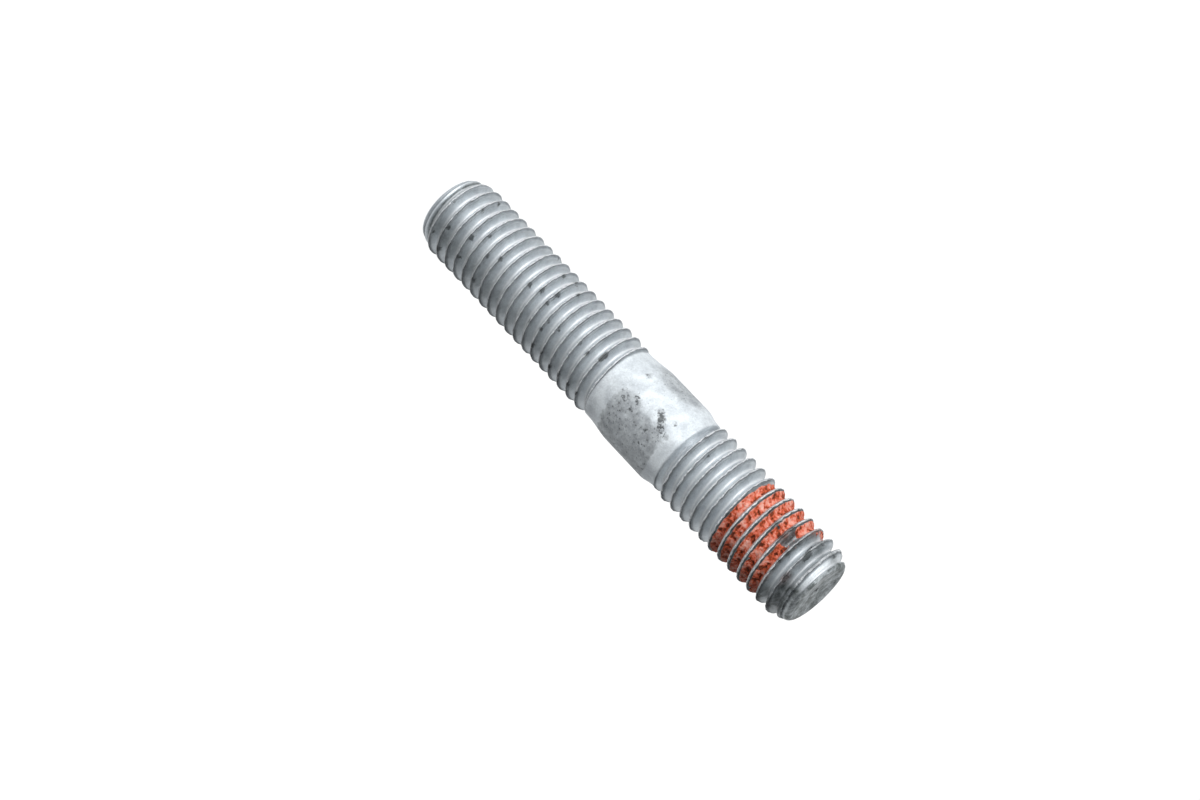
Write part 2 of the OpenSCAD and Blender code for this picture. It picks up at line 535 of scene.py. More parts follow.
@dataclass(frozen=True)
class DryAdhesive:
    """Thread-locking adhesive, brushed on wet and dried to a crust.

    It is chalky salmon to orange, matt and crumbly, and deeper red in its pits, which also carry painted
    shade.
    """

    # From the depth of a pit, where painted shade joins the crust's own red, to a chalky crumb
    tones: tuple[tuple[float, str], ...] = (
        (0.36, "#5A2410"), (0.42, "#93401F"), (0.46, "#BC5030"), (0.50, "#D1705A"),
        (0.55, "#D88F7C"), (0.60, "#DCA294"), (0.66, "#E2B6A8"),
    )
    smear: str = "#A08A86"
    roughness: float = 0.7
    gloss: float = 0.3
    lump_size: float = 1.1
    crumb_size: float = 0.3
    crumb_height: float = 0.16

    def material(self) -> Finish:
        """Build the crust's look.

        Returns:
            The material.
        """
        material, tree = blank_tree("dry_thread_adhesive")
        place = add(tree, "ShaderNodeTexCoord").outputs["Object"]
        even = {"Vector": place, "Detail": 3.0, "Roughness": 0.6}
        lump, crumb = (
            add(tree, NOISE, inputs={**even, "Scale": per_metre(size)})
            for size in (self.lump_size, self.crumb_size)
        )
        pit, thin = (
            add(tree, LAYER, {"attribute_name": name}).outputs["Fac"] for name in ("pit", "thin")
        )

        # Lumps and crumbs together set the tone, and the holes of the mesh lower it as painted shade
        mixed = add(tree, MIX, inputs={0: 0.38, 2: lump, 3: crumb})
        tone = add(tree, MATH, SCALED, {0: pit, 1: -0.14, 2: mixed})
        tones = add(tree, "ShaderNodeValToRGB", inputs={"Fac": tone})
        ramp = tones.color_ramp
        while len(ramp.elements) < len(self.tones):
            ramp.elements.new(1.0)
        for stop, (position, code) in zip(ramp.elements, self.tones):
            stop.position = position
            stop.color = linear(code)
        # The crust ends in a thin grey-pink smear on the flanks
        smeared = add(tree, MATH, TIMES, {0: thin, 1: 0.6})
        final = add(tree, MIX, PAINT, {0: smeared, 6: tones, 7: linear(self.smear)})
        bump = add(
            tree, BUMP, inputs={"Height": crumb, "Strength": 1.0, "Distance": self.crumb_height * MM}
        )
        shader = add(
            tree, "ShaderNodeBsdfPrincipled",
            inputs={
                "Base Color": final, "Normal": bump,
                "Roughness": self.roughness, "Specular IOR Level": self.gloss,
            },
        )
        add(tree, OUT, inputs={"Surface": shader})
        return material


# -------- the stud


@dataclass(frozen=True)
class FormLine:
    """A line of the thread's section, swept along the helix.

    Attributes:
        place: Distance from the middle of the crest, along the axis.
        depth: Depth below the crest.
        lap: How much of the crest's seam shows there, from 0 to 1.
        edge: How much painted shade darkens the shoulder beside the seam there, from 0 to 1; it also
            places grime where adhesive was brushed on.
        lip: How much of the lip's burnish and painted highlight shows there, from 0 to 1.
    """

    place: float
    depth: float
    lap: float = 0.0
    edge: float = 0.0
    lip: float = 0.0


@dataclass(frozen=True)
class ThreadForm:
    """Section of the rolled thread over one pitch, from a root to the next.

    The dies fold the crest from both flanks. The fold's upper lip is on the nut end's side,
    and the seam beside it leads straight into the other flank.

    Attributes:
        pitch: Distance from crest to crest.
        crest_r: Radius of the crests.
        flank: The lines that both flanks share, from below the crest to the root.
        lip: The lines on the lip's side of the crest.
        seam: The lines on the seam's side of the crest.
    """

    pitch: float = 1.5
    crest_r: float = 5.0
    flank: tuple[FormLine, ...] = tuple(FormLine(*row) for row in (
        (0.365, 0.445, 0.0, 0.20), (0.490, 0.672, 0.0, 0.03), (0.585, 0.812), (0.665, 0.888),
        (0.750, 0.912),
    ))
    lip: tuple[FormLine, ...] = tuple(FormLine(*row) for row in (
        (-0.285, 0.262, 0.0, 0.0, 0.1), (-0.225, 0.130, 0.0, 0.0, 0.5),
        (-0.165, 0.045, 0.0, 0.0, 1.0), (-0.105, 0.006, 0.0, 0.0, 1.0),
        (-0.045, 0.000, 0.0, 0.0, 1.0), (0.000, 0.014, 0.15, 0.1, 0.8),
    ))
    seam: tuple[FormLine, ...] = tuple(FormLine(*row) for row in (
        (0.034, 0.062, 1.0, 0.5, 0.1), (0.068, 0.082, 1.0, 0.9), (0.105, 0.078, 0.8, 1.0),
        (0.160, 0.098, 0.3, 1.0), (0.225, 0.172, 0.0, 0.7), (0.290, 0.278, 0.0, 0.4),
    ))

    @property
    def root_r(self) -> float:
        """Return the radius of the roots."""
        return self.crest_r - self.flank[-1].depth

    def lines(self, mirrored: bool) -> list[FormLine]:
        """Return the section's lines in the order of their places.

        Args:
            mirrored: Whether the end is seen from its face, so that the lip changes sides.

        Returns:
            The lines, from one root to the next.
        """
        down = [FormLine(-f.place, f.depth) for f in reversed(self.flank)]
        across = [*down, *self.lip, *self.seam, *self.flank]
        if mirrored:
            across = [replace(f, place=-f.place) for f in reversed(across)]
        return across

    def depth_at(self, place: float, mirrored: bool) -> float:
        """Return the section's depth at a place across it.

        Args:
            place: Distance from the middle of a crest, along the axis.
            mirrored: Whether the end is seen from its face.

        Returns:
            The depth below the crest.
        """
        place = (place + self.pitch / 2) % self.pitch - self.pitch / 2
        across = self.lines(mirrored)
        for near, far in zip(across, across[1:]):
            if near.place <= place <= far.place:
                share = (place - near.place) / (far.place - near.place)
                return near.depth + (far.depth - near.depth) * share
        return across[0].depth


@dataclass(frozen=True)
class ThreadedEnd:
    """A threaded end, with its free face at height 0 and its neck above.

    Attributes:
        length: From the face to the neck.
        start_angle: Degrees at which the thread starts.
        edge_r: Radius that rounds the edge of the face.
        flipped: Whether the end is the stud's upper one.
        stud_length: Length of the whole stud.
        dimple: Radius and depth of the dimple in the face, if it has one.
        dish: How far the middle of the face lies below its edge.
        rim_darkening: How much darker the rounded edge of the face, and the face, are painted, from 0 to
            1.
        coated: Heights between which adhesive was brushed on, if it was.
        jagged: How far the seam wanders, from 0 to 1.
        seam_share: How dark the seam's dirt and painted shade are, from 0 to 1.
        form_left: How much of the form may be turned away before its seam is gone.
        form: The thread's section.
        face_r: Radius of the flat face.
        lead_angle: Degrees between the lead-in and the axis.
        neck_r: Radius of the neck.
        runout: Length over which the crests sink to the neck.
        groove_end: Length over which the grooves close at the neck.
        turn_steps: Steps in one turn of the mesh.
        first_cut: Height at which the thread's mesh gives way to the rings of the face's edge.
    """

    length: float
    start_angle: float
    edge_r: float
    flipped: bool
    stud_length: float
    dimple: tuple[float, float] | None = None
    dish: float = 0.0
    rim_darkening: float = 0.0
    coated: tuple[float, float] | None = None
    jagged: float = 1.0
    seam_share: float = 0.95
    form_left: float = 0.55
    form: ThreadForm = ThreadForm()
    face_r: float = 3.6
    lead_angle: float = 20.0
    neck_r: float = 4.725
    runout: float = 1.2
    groove_end: float = 0.22
    turn_steps: int = 120
    first_cut: float = 0.15
    # Unevenness: of the grooves' ends, the seam's depth, the skin, the lip and the seam's place
    end_wander: Ripple = Ripple(0.1, 0.5, 2.0)
    tear: Ripple = Ripple(0.9, 0.9, 3.0)
    skin: Ripple = Ripple(0.008, 1.1)
    beads: Ripple = Ripple(0.05, 0.4, 12.0)
    sway: tuple[Ripple, Ripple] = (Ripple(0.08, 0.8, 9.0), Ripple(0.12, 0.36, 15.0))

    def envelope(self, z: float) -> float:
        """Return the radius that the turned end leaves.

        Args:
            z: Height above the face.

        Returns:
            The radius of the rounded edge or of the lead-in.
        """
        lead = math.radians(self.lead_angle)
        edge_z = self.edge_r * (1 - math.sin(lead))
        if z <= edge_z:
            drop = self.edge_r - max(z, 0.0)
            return self.face_r + math.sqrt(max(self.edge_r**2 - drop**2, 0.0))
        return self.face_r + self.edge_r * math.cos(lead) + (z - edge_z) * math.tan(lead)

    def worked(self, point: Vector, lap: float, lip: float, give: float) -> Vector:
        """Return where run-out, turned end and rolling move a point of the ideal thread.

        Args:
            point: The point on the ideal thread.
            lap: 1 in the seam of a crest, 0 away from it.
            lip: 1 on the lip beside the seam, 0 away from it.
            give: How far the point wanders with the crest, from 0 to 1.

        Returns:
            The point on the real thread.
        """
        radius = math.hypot(point.x, point.y)
        angle = math.atan2(point.y, point.x)
        left = self.length - point.z
        # The crests sink to the neck over the run-out, and the grooves stop short at it
        fade = clamp(left / self.runout)
        root_r = self.form.root_r
        sunk = (self.neck_r - root_r) / (self.form.crest_r - root_r)
        radius = root_r + (radius - root_r) * (fade + (1 - fade) * sunk)
        join = smooth_step(0.0, self.groove_end, left - NECK_GAP - self.end_wander.at(point))
        radius = self.neck_r + (radius - self.neck_r) * join
        turned_r = self.envelope(point.z)
        cut = smooth_step(-0.05, 0.25, radius - turned_r)
        radius = smooth_min(radius, turned_r, 0.04)
        # The seam wanders and opens where the dies filled the crest badly, and the lip is beaded
        tear = clamp(0.5 + self.tear.at(point))
        radius -= lap * (tear * 0.05 + 0.04 * cut) * join
        radius += (self.skin.at(point) + lip * self.jagged * self.beads.at(point)) * join
        sway = self.jagged * give * join * sum(ripple.at(point) for ripple in self.sway)
        return turned(angle, radius, point.z + sway)

    def roll(self, bm: Mesh, section: Points, closed: bool, steps: int, turns: int) -> None:
        """Sweep a section along the thread's helix: one turn is spun, and the others are its copies.

        Args:
            bm: A mesh with nothing else in it.
            section: The section's points, above +X.
            closed: Whether its last point joins its first.
            steps: Steps in one turn.
            turns: Number of turns.
        """
        pitch = self.form.pitch
        others = section[1:] + section[:1] if closed else section[1:]
        edges = [bm.edges.new(pair) for pair in zip(section, others)]
        start = Matrix.Rotation(math.radians(self.start_angle), 3, "Z")
        bmesh.ops.rotate(bm, verts=bm.verts, matrix=start)
        bmesh.ops.spin(
            bm, geom=section + edges, cent=(0, 0, 0), axis=(0, 0, 1), angle=2 * math.pi,
            dvec=(0, 0, pitch / steps), steps=steps, use_merge=False,
        )
        turn = bm.verts[:] + bm.edges[:] + bm.faces[:]
        for k in range(1, turns):
            copy = bmesh.ops.duplicate(bm, geom=turn)["geom"]
            verts = [g for g in copy if isinstance(g, bmesh.types.BMVert)]
            bmesh.ops.translate(bm, verts=verts, vec=(0, 0, k * pitch))
        bmesh.ops.remove_doubles(bm, verts=bm.verts, dist=1e-4)

    def add_to(self, bm: Mesh) -> None:
        """Roll the thread into a mesh and close its free face.

        Args:
            bm: The stud's mesh.
        """
        own = bmesh.new()
        lap, lip, root, edge, thread, flank, grime, give = (
            own.verts.layers.float.new(name) for name in (*STUD_LAYERS, Trace.GRIME_AND_SHADE.value, "give")
        )
        section = []
        for line in self.form.lines(self.flipped):
            v = own.verts.new((self.form.crest_r - line.depth, 0, line.place - self.form.pitch))
            v[lap], v[lip] = line.lap * self.seam_share, line.lip
            # The shoulder's painted shade, which also places grime where adhesive was brushed on
            v[edge] = v[grime] = line.edge
            v[root] = smooth_step(0.74, 0.89, line.depth)
            v[flank] = smooth_step(0.12, 0.3, line.depth) * (1 - smooth_step(0.76, 0.89, line.depth))
            v[give] = math.exp(-((line.place / 0.17) ** 2))
            section.append(v)
        self.roll(own, section, False, self.turn_steps, math.ceil(self.length / self.form.pitch) + 2)
        for v in own.verts:
            trimmed = math.hypot(v.co.x, v.co.y) - self.envelope(v.co.z)
            v.co = self.worked(v.co, v[lap], v[lip], v[give])
            for layer in (lap, lip, edge, flank):
                v[layer] *= 1 - smooth_step(self.form_left, self.form_left + 0.3, trimmed)
            v[root] *= smooth_step(0.2, 0.6, v.co.z)
            v[thread] = smooth_step(0.1, 0.4, v.co.z) * (1 - smooth_step(-0.3, 0.0, v.co.z - self.length))
        keep_between(own, self.first_cut, self.length)
        for v in own.verts:
            past = v.co.z - self.length
            v[root] *= 1 - smooth_step(-1.0, -0.4, past)
            v[grime] *= self.shoulder_grime(v.co.z)
            for layer in (lap, lip, edge, flank, grime):
                v[layer] *= 1 - smooth_step(-0.3, 0.0, past)
        self.close_face(own)

        if self.flipped:
            put_on_top(own, self.stud_length)
        scratch = bpy.data.meshes.new("scratch")
        own.to_mesh(scratch)
        own.free()
        bm.from_mesh(scratch)
        bpy.data.meshes.remove(scratch)

    def shoulder_grime(self, z: float) -> float:
        """Return how dirty the shoulders of the crests are.

        Args:
            z: Height above the face.

        Returns:
            1 where adhesive was brushed on, and 0 away from there.
        """
        if not self.coated:
            return 0.0
        low, high = self.coated
        return smooth_step(low - 0.6, low + 0.2, z) * (1 - smooth_step(high - 0.3, high + 0.5, z))

    def close_face(self, bm: Mesh) -> None:
        """Round the face's edge, and close the face with its dimple.

        Args:
            bm: The end's own mesh, open at its first cut.
        """
        grime, lap = (bm.verts.layers.float[name] for name in ("grime", "lap"))
        ring = open_edges(bm, self.first_cut - 0.01, self.first_cut + 0.01)
        edge_rings = 5
        for step in range(1, edge_rings + 1):
            z = self.first_cut * (1 - step / edge_rings) ** 1.6
            ring = ring_on(bm, ring, self.envelope(z), z)
        # The rounded edge of the face, and the face itself, are painted darker
        rim_top = 0.42
        for v in bm.verts:
            if v.co.z < rim_top:
                v[grime] = 1.3 * self.rim_darkening * smooth_step(rim_top, 0.3, v.co.z)
        for share in (0.97, 0.9, 0.8, 0.65, 0.5, 0.35):
            ring = ring_on(bm, ring, self.face_r * share, self.face_z(share))
            for v in (v for edge in ring for v in edge.verts):
                v[grime] = self.rim_darkening * (1.2 if share > 0.95 else 0.95)
        middle = self.face_z(0.0)
        if self.dimple:
            radius, depth = self.dimple
            rim_z = self.face_z(radius / self.face_r)
            # Painted shade in the dimple's hollow, in the seam's and the film's colours
            for share, drop in ((1.15, 0.0), (1.0, 0.06), (0.8, 0.28), (0.5, 0.62), (0.2, 0.92)):
                ring = ring_on(bm, ring, radius * share, rim_z + depth * drop)
                for v in (v for edge in ring for v in edge.verts):
                    v[grime] = 1.0
                    v[lap] = 1.2 * (1.0 - smooth_step(0.8, 1.2, share))
            middle = rim_z + depth
        close_pole(bm, ring, middle)

    def face_z(self, share: float) -> float:
        """Return the height of the dished face at a share of its radius."""
        return self.dish * (1 - share**2)


@dataclass(frozen=True)
class Shank:
    """The plain shank with its two shoulders and necks.

    Attributes:
        low: Height of the lower neck's foot.
        high: Height of the upper neck's top.
        radius: Radius of the shank.
        start: Height at which the lower shoulder ends.
        length: Length of the plain part.
        neck_r: Radius of the necks.
        neck_len: Length of each neck.
        shoulder_steps: Rings of the mesh in each shoulder.
        plain_steps: Rings of the mesh in the plain part.
        steps: Steps in the full turn.
    """

    low: float
    high: float
    radius: float
    start: float
    length: float
    neck_r: float = 4.725
    neck_len: float = 0.2
    shoulder_steps: int = 14
    plain_steps: int = 20
    steps: int = 128
    # How ragged the ends of the rubbed part are
    ragged: tuple[Ripple, Ripple] = (Ripple(0.5, 1.3, 20.0), Ripple(0.3, 0.5, 21.0))

    def rubbed(self, point: Vector) -> float:
        """Return how far a point lies in the part that other studs rub.

        Args:
            point: The point on the stud.

        Returns:
            1 in the rubbed part and 0 outside it.
        """
        z = point.z + sum(ripple.at(point) for ripple in self.ragged)
        low, high = self.start - 1.9, self.start + self.length + 0.9
        return smooth_step(low - 0.1, low + 0.6, z) * (1 - smooth_step(high - 0.5, high + 0.1, z))

    def shoulder(self, z0: float, r0: float, z1: float, r1: float) -> Profile:
        """Return a shoulder from one height and radius to another, without a corner."""
        shares = [k / self.shoulder_steps for k in range(self.shoulder_steps + 1)]
        return [(r0 + (r1 - r0) * (1 - math.cos(math.pi * s)) / 2, z0 + (z1 - z0) * s) for s in shares]

    def add_to(self, bm: Mesh) -> None:
        """Turn the shank into a mesh, open at both ends.

        Args:
            bm: The stud's mesh.
        """
        shares = [k / self.plain_steps for k in range(self.plain_steps + 1)]
        plain = [(self.radius, self.start + self.length * share) for share in shares]
        profile = [
            (self.neck_r, self.low + NECK_GAP),
            *self.shoulder(self.low + self.neck_len, self.neck_r, self.start, self.radius),
            *plain[1:-1],
            *self.shoulder(self.start + self.length, self.radius, self.high - self.neck_len, self.neck_r),
            (self.neck_r, self.high - NECK_GAP),
        ]
        turn_profile(bm, profile, self.steps)


@dataclass(frozen=True)
class Stud:
    """The rolled stud: two threaded ends and the shank between them, in one piece."""

    nut_end: ThreadedEnd
    shank: Shank
    tap_end: ThreadedEnd
    marks: tuple[Mark, ...] = ()

    def build(self, finish: Finish) -> Thing:
        """Build the stud as one closed piece.

        Args:
            finish: The stud's coat.

        Returns:
            The piece.
        """
        bm = bmesh.new()
        for name in (*STUD_LAYERS, *(trace.value for trace in Trace)):
            bm.verts.layers.float.new(name)
        for part in (self.shank, self.nut_end, self.tap_end):
            part.add_to(bm)
        for height in (self.shank.low, self.shank.high):
            bmesh.ops.bridge_loops(bm, edges=open_edges(bm, height - 0.1, height + 0.1))
        for mark in self.marks:
            layer = bm.verts.layers.float[mark.trace.value]
            for v in bm.verts:
                if abs(v.co.z - mark.height) < 3 * mark.size:
                    v[layer] = min(1.0, v[layer] + mark.at(v.co))
        rub = bm.verts.layers.float[Trace.RUB.value]
        for v in bm.verts:
            v[rub] *= self.shank.rubbed(v.co)
        return finished_object("rolled_stud", bm, finish)


# -------- the patch


@dataclass(frozen=True)
class ThreadLockPatch:
    """The crust of adhesive in the grooves of the tap end.

    Attributes:
        end: The threaded end that carries it.
        setback: From the end's face to the crust's near edge.
        length: Length of the coated band.
        bare: Where the crust is gone.
        turn_steps: Steps in one turn of the mesh.
        overlap: How far the mesh goes on past the band's ends, where it lies under the steel.
        sunk: How far under the steel the crust lies where it is gone.
        thin: Thickness below which its lumps grow smaller.
    """

    end: ThreadedEnd
    setback: float
    length: float
    bare: tuple[Mark, ...] = ()
    turn_steps: int = 280
    overlap: float = 0.9
    sunk: float = 0.06
    thin: float = 0.12
    # Top of the crust across a groove, as (height above the crest below, depth)
    top: tuple[tuple[float, float], ...] = (
        (0.315, 0.325), (0.375, 0.430), (0.435, 0.520), (0.510, 0.578),
        (0.610, 0.600), (0.740, 0.595), (0.850, 0.555), (0.940, 0.490),
        (1.010, 0.415), (1.070, 0.345), (1.120, 0.290), (1.175, 0.235),
        (1.230, 0.175), (1.285, 0.115), (1.335, 0.070), (1.385, 0.058),
    )
    # Its underside, just inside the steel, back from the far flank to the near one
    under: tuple[tuple[float, float], ...] = (
        (1.370, 0.200), (1.260, 0.300), (1.050, 0.680), (0.880, 0.960),
        (0.620, 0.960), (0.490, 0.760), (0.345, 0.500),
    )
    # Unevenness: of the band's ends, the crust's top, its holes and its edges on the flanks
    ragged: tuple[Ripple, Ripple] = (Ripple(0.35, 1.3, 5.0), Ripple(0.25, 0.45, 6.0))
    lumps: tuple[Ripple, Ripple] = (Ripple(0.06, 0.6, 1.0), Ripple(0.05, 0.25, 2.0))
    holes: tuple[Ripple, Ripple] = (Ripple(1.0, 0.5, 4.0), Ripple(0.5, 0.2, 7.0))
    wander: tuple[Ripple, Ripple] = (Ripple(0.5, 0.7, 8.0), Ripple(0.3, 0.3, 11.0))

    def cover(self, point: Vector) -> float:
        """Return how much of the crust is left at a point.

        Args:
            point: The point, in the end's own frame.

        Returns:
            1 where the crust is whole and 0 where the steel is bare.
        """
        ragged = sum(ripple.at(point) for ripple in self.ragged)
        near = smooth_step(-0.12, 0.12, point.z - self.setback - 0.15 + ragged)
        far = smooth_step(-0.1, 0.1, self.setback + self.length - 0.1 - point.z + 0.3 * ragged)
        left = 1.0
        stud_point = Vector((point.x, -point.y, self.end.stud_length - point.z))
        for mark in self.bare:
            left -= 1.3 * mark.at(stud_point) * (0.7 + 0.9 * ragged)
        return near * far * smooth_step(0.35, 0.6, left)

    def crust_point(self, point: Vector, line: float) -> tuple[Vector, float]:
        """Return where a point of the crust's top really lies.

        Args:
            point: The point on the ideal top, in the end's own frame.
            line: Distance from the middle of the crest below, along the axis.

        Returns:
            The point, pitted and lumpy, or under the steel where the crust is gone, and the
            depth of the pit there, from 0 to 1.
        """
        angle = math.atan2(point.y, point.x)
        radius = math.hypot(point.x, point.y)
        steel = self.end.form.crest_r - self.end.form.depth_at(line, self.end.flipped)
        thick = max(radius - steel, 0.0)
        lump, holes, wander = (
            sum(ripple.at(point) for ripple in some) for some in (self.lumps, self.holes, self.wander)
        )
        hole = smooth_step(0.1, 0.6, holes)
        radius += lump * (0.3 + 0.7 * clamp(thick / self.thin)) - 0.7 * hole * thick
        seam_side = 1 - smooth_step(1.27, 1.37, line + 0.16 * wander)
        lip_side = smooth_step(0.32, 0.39, line + 0.12 * wander)
        cover = self.cover(point) * seam_side * lip_side
        radius = (steel - self.sunk) + (radius - steel + self.sunk) * cover
        return turned(angle, radius, point.z), hole

    def build(self, finish: Finish) -> Thing:
        """Build the crust as one closed strip along the groove.

        Args:
            finish: The dried adhesive.

        Returns:
            The piece.
        """
        form = self.end.form
        bm = bmesh.new()
        above, pit, thin = (bm.verts.layers.float.new(name) for name in ("line", "pit", "thin"))
        first_turn = math.floor((self.setback - 1.2) / form.pitch) - 1
        section = []
        for shown, points in ((1.0, self.top), (-1.0, self.under)):
            for place, depth in points:
                v = bm.verts.new((form.crest_r - depth, 0, first_turn * form.pitch + place))
                v[above] = place * shown
                section.append(v)
        self.end.roll(bm, section, True, self.turn_steps, math.ceil(self.length / form.pitch) + 4)
        low, high = self.setback - self.overlap, self.setback + self.length + self.overlap
        gone = [v for v in bm.verts if not low - 0.8 < v.co.z < high + 0.8]
        bmesh.ops.delete(bm, geom=gone, context="VERTS")
        keep_between(bm, low, high)
        for v in bm.verts:
            if v[above] > 0:
                v.co, v[pit] = self.crust_point(v.co, v[above])
                v[thin] = 1 - smooth_step(0.32, 0.42, v[above]) + smooth_step(1.24, 1.38, v[above])
        bmesh.ops.holes_fill(bm, edges=[e for e in bm.edges if e.is_boundary], sides=0)
        put_on_top(bm, self.end.stud_length)
        return finished_object("thread_lock_crust", bm, finish)


# -------- the studio


@dataclass(frozen=True)
class StudioCamera:
    """The photograph's camera: close, a little above the tap end, and rolled.

    Attributes:
        place: The camera's place.
        turn: Its turn in degrees.
        lens: Focal length on the sensor.
        sensor: Width of the sensor.
    """

    place: tuple[float, float, float] = (2.607, -221.860, 109.805)
    turn: tuple[float, float, float] = (-63.4514, -40.0732, 162.1696)
    lens: float = 65.51
    sensor: float = 36.0

    def build(self) -> Thing:
        """Build the camera and make it the scene's.

        Returns:
            The camera.
        """
        data = bpy.data.cameras.new("studio_camera")
        data.lens, data.sensor_width = self.lens, self.sensor
        data.clip_start, data.clip_end = 0.01, 20.0
        camera = placed("studio_camera", data)
        camera.location = Vector(self.place) * MM
        camera.rotation_euler = Euler([math.radians(a) for a in self.turn], "XYZ")
        bpy.context.scene.camera = camera
        return camera


@dataclass(frozen=True)
class StudioLamp:
    """A soft box.

    Attributes:
        name: The lamp's name.
        toward: Direction from the stud to the lamp.
        distance: Distance from the stud, in metres.
        size: Width and height of the soft box, in metres.
        level: Brightness that it gives a white card that faces it.
    """

    name: str
    toward: tuple[float, float, float]
    distance: float
    size: tuple[float, float]
    level: float

    def build(self, aim: Vector) -> Thing:
        """Build the lamp.

        Args:
            aim: The point that it lights, in metres.

        Returns:
            The lamp.
        """
        data = bpy.data.lights.new(self.name, "AREA")
        data.shape = "RECTANGLE"
        data.size, data.size_y = self.size
        # A long box gives a card less light for its power than a small one
        reach = self.size[1] / 2 / self.distance
        share = (math.atan(reach) + reach / (1 + reach**2)) / (2 * reach)
        data.energy = self.level * math.pi**2 * self.distance**2 / share
        lamp = placed(self.name, data)
        way = Vector(self.toward).normalized()
        lamp.location = aim + way * self.distance
        lamp.rotation_euler = way.to_track_quat("Z", "Y").to_euler()
        lamp.visible_camera = False
        return lamp


@dataclass(frozen=True)
class Studio:
    """A plain white sweep, soft lamps and an even room. Its lengths are metres.

    Attributes:
        lamps: The soft boxes.
        room_level: Brightness of the even room.
        floor_radius: Radius of the flat floor.
        wall_height: Height of the wall round it.
        bend: Radius of the bend between them.
        bend_steps: Steps in that bend.
        glow: Brightness of the sweep as the eye and the stud's reflections see it.
        shadow_share: How strongly a lamp's light, and so a shadow, shows on the sweep.
    """

    lamps: tuple[StudioLamp, ...]
    room_level: float = 0.11
    floor_radius: float = 0.9
    wall_height: float = 1.2
    bend: float = 0.35
    bend_steps: int = 12
    glow: float = 0.97
    shadow_share: float = 0.14

    def sweep(self) -> Thing:
        """Build the floor and its round wall in one curve.

        Returns:
            The sweep.
        """
        bm = bmesh.new()
        profile = [(0.02, 0.0), (0.3, 0.0), (self.floor_radius, 0.0)]
        for k in range(1, self.bend_steps + 1):
            a = math.pi / 2 * k / self.bend_steps
            profile.append((self.floor_radius + self.bend * math.sin(a), self.bend * (1 - math.cos(a))))
        profile.append((self.floor_radius + self.bend, self.wall_height))
        turn_profile(bm, profile, 96)
        bmesh.ops.holes_fill(bm, edges=open_edges(bm, -0.01, 0.01), sides=0)
        bmesh.ops.recalc_face_normals(bm, faces=bm.faces)
        mesh = bpy.data.meshes.new("studio_sweep")
        bm.to_mesh(mesh)
        bm.free()
        mesh.materials.append(self.white_card())
        sweep = placed("studio_sweep", mesh)
        sweep.visible_diffuse = sweep.visible_shadow = False
        return sweep

    def white_card(self) -> Finish:
        """Build the sweep's look: white to the eye, with room for a soft shadow.

        Returns:
            The material.
        """
        material, tree = blank_tree("white_card")
        path = add(tree, "ShaderNodeLightPath").outputs
        seen = add(tree, MATH, LARGER, {0: path["Is Camera Ray"], 1: path["Is Glossy Ray"]})
        shown = add(tree, MATH, LARGER, {0: seen, 1: path["Is Transmission Ray"]})
        level = add(tree, MATH, TIMES, {0: shown, 1: self.glow})
        glow = add(tree, "ShaderNodeEmission", inputs={"Strength": level, "Color": linear("#FFFFFF")})
        card = add(tree, "ShaderNodeBsdfDiffuse", inputs={"Color": (self.shadow_share,) * 3 + (1.0,)})
        both = add(tree, "ShaderNodeAddShader", inputs={0: glow, 1: card})
        add(tree, OUT, inputs={"Surface": both})
        return material

    def room(self) -> None:
        """Give the world an even, neutral light."""
        world = bpy.data.worlds.new("studio_room")
        world.use_nodes = True
        tree = world.node_tree
        tree.nodes.clear()
        even = {"Color": linear("#FFFFFF"), "Strength": self.room_level}
        background = add(tree, "ShaderNodeBackground", inputs=even)
        add(tree, "ShaderNodeOutputWorld", inputs={"Surface": background})
        bpy.context.scene.world = world

    def build(self, aim: Vector) -> None:
        """Build the sweep, the room and the lamps.

        Args:
            aim: The point that the lamps light, in metres.
        """
        self.sweep()
        self.room()
        for lamp in self.lamps:
            lamp.build(aim)
        bpy.context.scene.view_settings.view_transform = "Standard"


# -------- the whole scene


